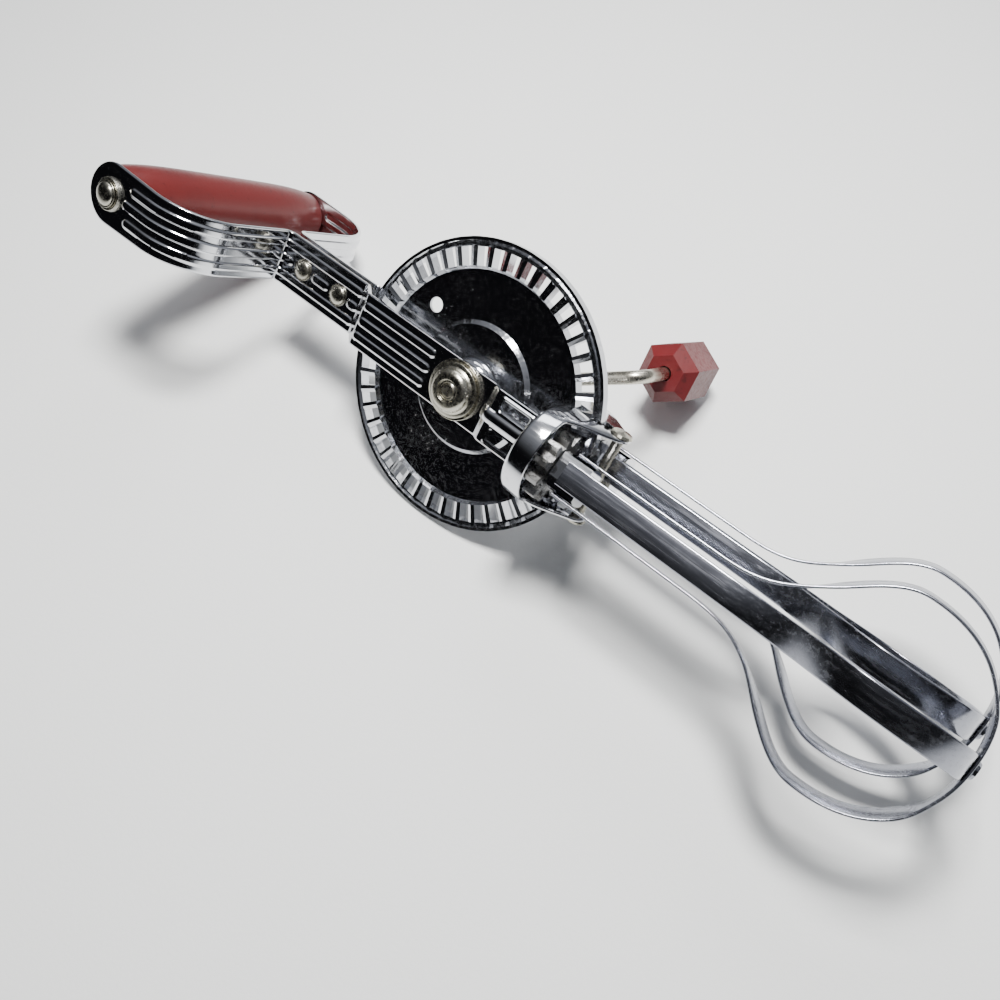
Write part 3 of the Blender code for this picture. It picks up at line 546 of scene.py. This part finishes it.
def add_axle_fittings():
    """Cap nut, washers and the domed hub of the wheel."""
    inner = AXLE_RADIUS + 0.2 * MM
    face = -HUB_FACE - 1.2 * MM
    nut = [(face, inner), (face, 7.7 * MM), (face - 0.9 * MM, 7.8 * MM), (face - 1.1 * MM, 7.3 * MM)]
    nut += [(face - 1.2 * MM, 6.7 * MM), (face - 1.6 * MM, 6.2 * MM)]
    for step in range(7):
        angle = math.radians(12.0 * step)
        nut.append((face - 1.7 * MM - 2.1 * MM * math.sin(angle), 3.9 * MM + 2.2 * MM * math.cos(angle)))
    nut += [(face - 3.7 * MM, 3.2 * MM), (face - 3.1 * MM, 3.0 * MM), (face - 3.1 * MM, 2.55 * MM)]
    nut += [(face - 3.4 * MM, inner)]
    build = turned(nut, closed=True)
    add_piece("axle_cap_nut_turned", build, "wheel", NICKEL, ["axle_cap_nut"], 0.12 * MM)
    washers = (("front_axle_washer", -HUB_FACE - 1.1 * MM, -HUB_FACE - 0.2 * MM, 8.6 * MM),
               ("back_axle_washer", HUB_FACE + 0.2 * MM, HUB_FACE + 1.2 * MM, 6.0 * MM))
    for name, low, high, radius in washers:
        outline = [(low, inner), (low, radius), (high, radius), (high, inner)]
        add_piece(f"{name}_turned", turned(outline, closed=True), "wheel", NICKEL, [name], 0.2 * MM)
    dome = [(-6.6 * MM, inner), (-6.6 * MM, 3.6 * MM)]
    for step in range(13):
        angle = math.radians(7.5 * step)
        dome.append((-2.2 * MM - 4.3 * MM * math.cos(angle), 3.6 * MM + 5.4 * MM * math.sin(angle)))
    dome += [(-1.95 * MM, 9.0 * MM), (-1.95 * MM, 4.7 * MM), (6.6 * MM, 4.7 * MM), (6.6 * MM, inner)]
    build = turned(dome, closed=True)
    add_piece("wheel_hub_dome", build, "wheel", CHROME, ["wheel_hub"], 0.1 * MM, 50.0)


def add_crank():
    """Round rod bent twice: the axle, the crank's arm and the knob's rod."""
    corners = [
        (0.0, -HUB_FACE - 4.4 * MM, 0.0),
        (0.0, CRANK_PLANE, CRANK_BEND),
        (CRANK_RADIUS, CRANK_PLANE, CRANK_BEND),
        (CRANK_RADIUS, KNOB_START + KNOB_LENGTH - 1.6 * MM, 0.0),
    ]
    route = rounded_path(corners, math.radians(6.0))
    turn = Matrix.Rotation(-CRANK_ANGLE, 4, "Y")
    build = bmesh.new()
    rings = []
    for point, tangent in zip(route, tangents(route)):
        left = Vector((-tangent.y, tangent.x, 0.0))
        ring = []
        for step in range(32):
            angle = 2.0 * math.pi * step / 32
            offset = left * math.cos(angle) + Vector((0.0, 0.0, math.sin(angle)))
            ring.append(build.verts.new(turn @ (Vector((point.x, point.y, 0.0)) + offset * AXLE_RADIUS)))
        rings.append(ring)
    for first, second in zip(rings, rings[1:]):
        join_rings(build, first, second)
    build.faces.new(rings[0])
    build.faces.new(rings[-1])
    add_piece("crank_rod_round", build, "wheel", ROD, ["crank_rod"], 0.3 * MM)


# ---------------------------------------------------------------------------------------------
# Pinion housing
# ---------------------------------------------------------------------------------------------

def housing_depth(across):
    """How far the wall reaches towards the beaters: short at the ends, a round nose at the sides."""
    reach = abs(across)
    start = HOUSING_NOSE_RADIUS * 0.85
    bulge = math.sqrt(HOUSING_NOSE_RADIUS ** 2 - min(reach, start) ** 2)
    edge = HOUSING_NOSE + bulge - HOUSING_NOSE_RADIUS * 0.5
    blend = min(1.0, max(0.0, (reach - start) / (HOUSING_SLOPE_END - start)))
    return edge + (HOUSING_SKIRT - edge) * blend


def housing_outline(radius):
    """Stadium of two half circles, with close points along its straight sides."""
    points = []
    straight = [HOUSING_CENTRE * (-1.0 + 2.0 * step / 48) for step in range(1, 48)]
    for side in (-1.0, 1.0):
        for step in range(37):
            angle = math.pi * step / 36
            across = HOUSING_CENTRE + radius * math.sin(angle)
            points.append((side * across, -side * radius * math.cos(angle)))
        for value in (straight if side < 0.0 else reversed(straight)):
            points.append((value, side * radius))
    return points


def add_housing():
    """Pressed cap open to the beaters, with a rounded shoulder and lip and a slot for the wheel's rim."""
    build = bmesh.new()
    shoulder = 1.6 * MM
    lip = 0.5 * HOUSING_WALL
    rows = []
    for step in range(6):
        angle = math.pi / 2.0 * step / 5
        inset = shoulder * (1.0 - math.sin(angle))
        x = HOUSING_START + shoulder * (1.0 - math.cos(angle))
        rows.append([build.verts.new((x, y, z)) for y, z in housing_outline(HOUSING_RADIUS - inset)])
    for step in range(7):
        angle = math.pi * step / 6
        radius = HOUSING_RADIUS - lip + lip * math.cos(angle)
        rise = lip * math.sin(angle) - lip
        rows.append([build.verts.new((housing_depth(y) + rise, y, z)) for y, z in housing_outline(radius)])
    inner = housing_outline(HOUSING_RADIUS - HOUSING_WALL)
    rows.append([build.verts.new((HOUSING_START + HOUSING_PLATE, y, z)) for y, z in inner])
    for first, second in zip(rows, rows[1:]):
        join_rings(build, first, second)
    build.faces.new(rows[0])
    build.faces.new(rows[-1])
    node = "pinion_housing"
    piece = add_piece("pinion_housing_pressed", build, "frame", CHROME, [node], sharp_degrees=40.0)
    cut_rim_slot(piece)
    round_edges(piece, 0.2 * MM, 2)


def cut_rim_slot(piece):
    """Cut the slot that the wheel's rim passes through."""
    low = Vector((HOUSING_START - 5.0 * MM, -RIM_SLOT_HALF, -30.0 * MM))
    high = Vector((RIM_SLOT_END, RIM_SLOT_HALF, 30.0 * MM))
    guide = bmesh.new()
    place = Matrix.Translation((low + high) / 2.0) @ Matrix.Diagonal((*(high - low), 1.0))
    bmesh.ops.create_cube(guide, size=1.0, matrix=place)
    mesh = bpy.data.meshes.new("rim_slot")
    guide.to_mesh(mesh)
    guide.free()
    cutter = bpy.data.objects.new("rim_slot", mesh)
    cutter.matrix_world = TOOL
    bpy.context.scene.collection.objects.link(cutter)
    cut = piece.modifiers.new("rim_slot", "BOOLEAN")
    cut.operation = "DIFFERENCE"
    cut.object = cutter
    bpy.context.view_layer.update()
    shape = piece.evaluated_get(bpy.context.evaluated_depsgraph_get())
    carved = bpy.data.meshes.new_from_object(shape)
    piece.modifiers.clear()
    piece.data = carved
    bpy.data.objects.remove(cutter)


# ---------------------------------------------------------------------------------------------
# Beater blades
# ---------------------------------------------------------------------------------------------

def blade_path(step_out):
    """Outer face of a whole loop, down one side, round the tip and back up the other."""
    flare_steps, tip_steps = 48, 40
    side = [Vector((BLADE_START, BLADE_RADIUS)), Vector((FLARE_START, BLADE_RADIUS))]
    for step in range(1, flare_steps + 1):
        share = step / flare_steps
        rise = math.sin(math.pi / 2.0 * share) ** 3.8
        x = FLARE_START + (BULB_MIDDLE - FLARE_START) * share
        side.append(Vector((x, BLADE_RADIUS + (BULB_RADIUS - BLADE_RADIUS) * rise)))
    for step in range(1, tip_steps):
        angle = math.pi / 2.0 * step / tip_steps
        x = BULB_MIDDLE + (BULB_END + step_out - BULB_MIDDLE) * math.sin(angle) ** 0.9
        side.append(Vector((x, BULB_RADIUS * math.cos(angle) ** 0.9)))
    tip = Vector((BULB_END + step_out, 0.0))
    return side + [tip] + [Vector((point.x, -point.y)) for point in reversed(side)]


def blade_lean(point):
    """The blades lean over in the bulb, the same way round the axis, and lie flat at the neck and tip."""
    return -math.copysign(BLADE_TWIST * smooth_step(abs(point.y), TWIST_START, TWIST_END), point.y)


def add_blade(label, loop, centre_y, phase, step_out):
    """A flat strip with rounded long edges, bent into one loop."""
    path = resampled(blade_path(step_out), 0.8 * MM)
    half = BLADE_WIDTH / 2.0
    edge = BLADE_THICKNESS / 2.0
    section = []
    for sign in (1.0, -1.0):
        for step in range(7):
            angle = sign * math.pi / 2.0 - math.pi * step / 6
            reach = half - edge + edge * abs(math.cos(angle))
            section.append((edge * math.sin(angle) - edge, sign * reach))
    matrix = Matrix.Translation((0.0, centre_y, 0.0)) @ Matrix.Rotation(-phase + math.pi, 4, "X")
    build = bmesh.new()
    rings = []
    upward = Vector((0.0, 0.0, 1.0))
    for point, tangent in zip(path, tangents(path)):
        normal = Vector((-tangent.y, tangent.x, 0.0))
        lean = blade_lean(point)
        across = normal * math.sin(lean) + upward * math.cos(lean)
        outward = normal * math.cos(lean) - upward * math.sin(lean)
        spot = Vector((point.x, point.y, 0.0))
        ring = [build.verts.new(matrix @ (spot + outward * depth + across * z)) for depth, z in section]
        rings.append(ring)
    for first, second in zip(rings, rings[1:]):
        join_rings(build, first, second)
    build.faces.new(rings[0])
    build.faces.new(rings[-1])
    node = f"{label}_{loop}_blade_loop"
    add_piece(f"{node}_smooth", build, f"{label}_beater", BLADE, [node], sharp_degrees=40.0)


for strap_name, strap_side in (("front", -1.0), ("back", 1.0)):
    add_strap(strap_name, strap_side)
add_handle()
add_housing()
add_axle_fittings()
add_crank()
BEATERS = (
    ("front", -PINION_OFFSET, FRONT_BLADE_ANGLE),
    ("back", PINION_OFFSET, BACK_BLADE_ANGLE),
)
for beater, beater_y, beater_phase in BEATERS:
    add_blade(beater, "inner", beater_y, beater_phase, 0.0)
    add_blade(beater, "outer", beater_y, beater_phase - math.pi / 2.0, CROSSING_STEP)
    finish_node(f"{beater}_pinion", GEAR, 0.15 * MM)
    finish_node(f"{beater}_pinion_collar", GEAR, 0.15 * MM)
    finish_node(f"{beater}_spindle", NICKEL, 0.15 * MM)
    finish_node(f"{beater}_blade_hub", CHROME, 0.2 * MM)
    finish_node(f"{beater}_tip_rivet", BLADE, 0.12 * MM)
for fitting in ("upper_neck_spacer", "lower_neck_spacer", "housing_cross_pin", "knob_washer"):
    finish_node(fitting, NICKEL, 0.15 * MM)
finish_node("drive_wheel", PLATE, 0.2 * MM)
finish_node("crank_knob", KNOB, 0.7 * MM)


# ---------------------------------------------------------------------------------------------
# Floor, light and camera
# ---------------------------------------------------------------------------------------------

def add_floor():
    mesh = bpy.data.meshes.new("floor")
    reach = 3.0
    corners = [(-reach, -reach, 0.0), (reach, -reach, 0.0), (reach, reach, 0.0), (-reach, reach, 0.0)]
    mesh.from_pydata(corners, [], [(0, 1, 2, 3)])
    floor = bpy.data.objects.new("floor", mesh)
    bpy.context.scene.collection.objects.link(floor)
    material = bpy.data.materials.new("paper")
    material.use_nodes = True
    tree = material.node_tree
    shader = tree.nodes["Principled BSDF"]
    place = tree.nodes.new("ShaderNodeTexCoord").outputs["Object"]
    tint = mix(tree, noise(tree, place, 6.0, 2.0), (0.80, 0.81, 0.80), (0.84, 0.85, 0.85))
    tree.links.new(tint, shader.inputs["Base Color"])
    shader.inputs["Roughness"].default_value = 0.85
    bump = tree.nodes.new("ShaderNodeBump")
    bump.inputs["Strength"].default_value = 0.15
    bump.inputs["Distance"].default_value = 0.0004
    tree.links.new(noise(tree, place, 700.0, 3.0), bump.inputs["Height"])
    tree.links.new(bump.outputs["Normal"], shader.inputs["Normal"])
    mesh.materials.append(material)


def add_light(name, place, target, size, watts, colour):
    light = bpy.data.lights.new(name, "AREA")
    light.shape = "RECTANGLE"
    light.size, light.size_y = size
    light.energy = watts
    light.color = colour
    lamp = bpy.data.objects.new(name, light)
    lamp.location = place
    lamp.rotation_euler = (Vector(target) - Vector(place)).to_track_quat("-Z", "Y").to_euler()
    bpy.context.scene.collection.objects.link(lamp)


def add_world():
    """Soft room: bright overhead and behind, dim towards the front."""
    world = bpy.data.worlds.new("room")
    world.use_nodes = True
    bpy.context.scene.world = world
    tree = world.node_tree
    background = tree.nodes["Background"]
    direction = tree.nodes.new("ShaderNodeTexCoord").outputs["Generated"]
    facing = tree.nodes.new("ShaderNodeVectorMath")
    facing.operation = "DOT_PRODUCT"
    facing.inputs[1].default_value = Vector((0.05, 0.62, 0.78)).normalized()
    tree.links.new(direction, facing.inputs[0])
    colours = tree.nodes.new("ShaderNodeValToRGB")
    stops = colours.color_ramp.elements
    stops[0].position, stops[0].color = 0.0, (0.010, 0.010, 0.012, 1.0)
    stops[1].position, stops[1].color = 1.0, (0.80, 0.84, 0.92, 1.0)
    for position, level in ((0.10, 0.03), (0.30, 0.16), (0.50, 0.36)):
        stop = stops.new(position)
        stop.color = (level, level * 1.03, level * 1.12, 1.0)
    tree.links.new(facing.outputs["Value"], colours.inputs["Fac"])
    tree.links.new(colours.outputs["Color"], background.inputs["Color"])
    background.inputs["Strength"].default_value = 0.48


def add_camera():
    """Camera looking down on the tool from the front strap's side."""
    place = -(CAMERA_RIGHT * ORIGIN_SEEN[0] + CAMERA_UP * ORIGIN_SEEN[1] + CAMERA_BACK * ORIGIN_SEEN[2])
    data = bpy.data.cameras.new("camera")
    data.sensor_width = SENSOR_WIDTH
    data.lens = SENSOR_WIDTH * LENS_SHARE
    data.clip_start = 0.01
    camera = bpy.data.objects.new("camera", data)
    turn = Matrix((CAMERA_RIGHT, CAMERA_UP, CAMERA_BACK)).transposed().to_4x4()
    camera.matrix_world = TOOL @ Matrix.Translation(place) @ turn
    bpy.context.scene.collection.objects.link(camera)
    bpy.context.scene.camera = camera


add_floor()
add_light("key", (-0.03, 0.07, 0.55), (0.0, 0.0, 0.0), (0.15, 0.15), 7.5, (1.0, 0.99, 0.97))
add_light("fill", (-0.35, 0.75, 0.75), (0.0, 0.0, 0.0), (0.60, 0.40), 3.5, (0.97, 0.98, 1.0))
add_world()
add_camera()
